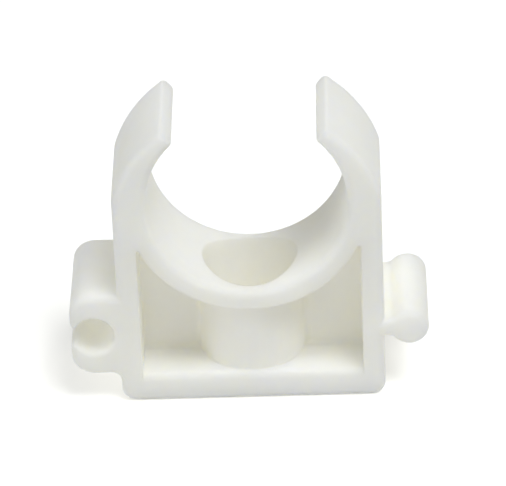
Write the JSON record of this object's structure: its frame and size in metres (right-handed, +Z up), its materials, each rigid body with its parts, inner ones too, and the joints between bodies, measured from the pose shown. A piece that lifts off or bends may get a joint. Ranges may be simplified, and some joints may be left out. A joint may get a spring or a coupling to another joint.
{
  "type": "pipe clip",
  "caption": "Moulded snap-in pipe clip: open round jaws on a pocketed base with a recessed screw hole, and a bead and socket that link clips side by side.",
  "frame": {"origin": "where the screw hole's axis meets the underside of the base", "axes": "+Z up from the base through the screw hole to the open mouth, Y along the pipe, +X along a row of linked clips, from the lug with the socket to the bead"},
  "size_m": [0.0451, 0.0148, 0.0387],
  "materials": {
    "moulded_plastic": "off-white polypropylene, satin as moulded, slightly translucent"
  },
  "bodies": {
    "root": {"pipe_clip": "moulded_plastic"}
  },
  "joints": []
}
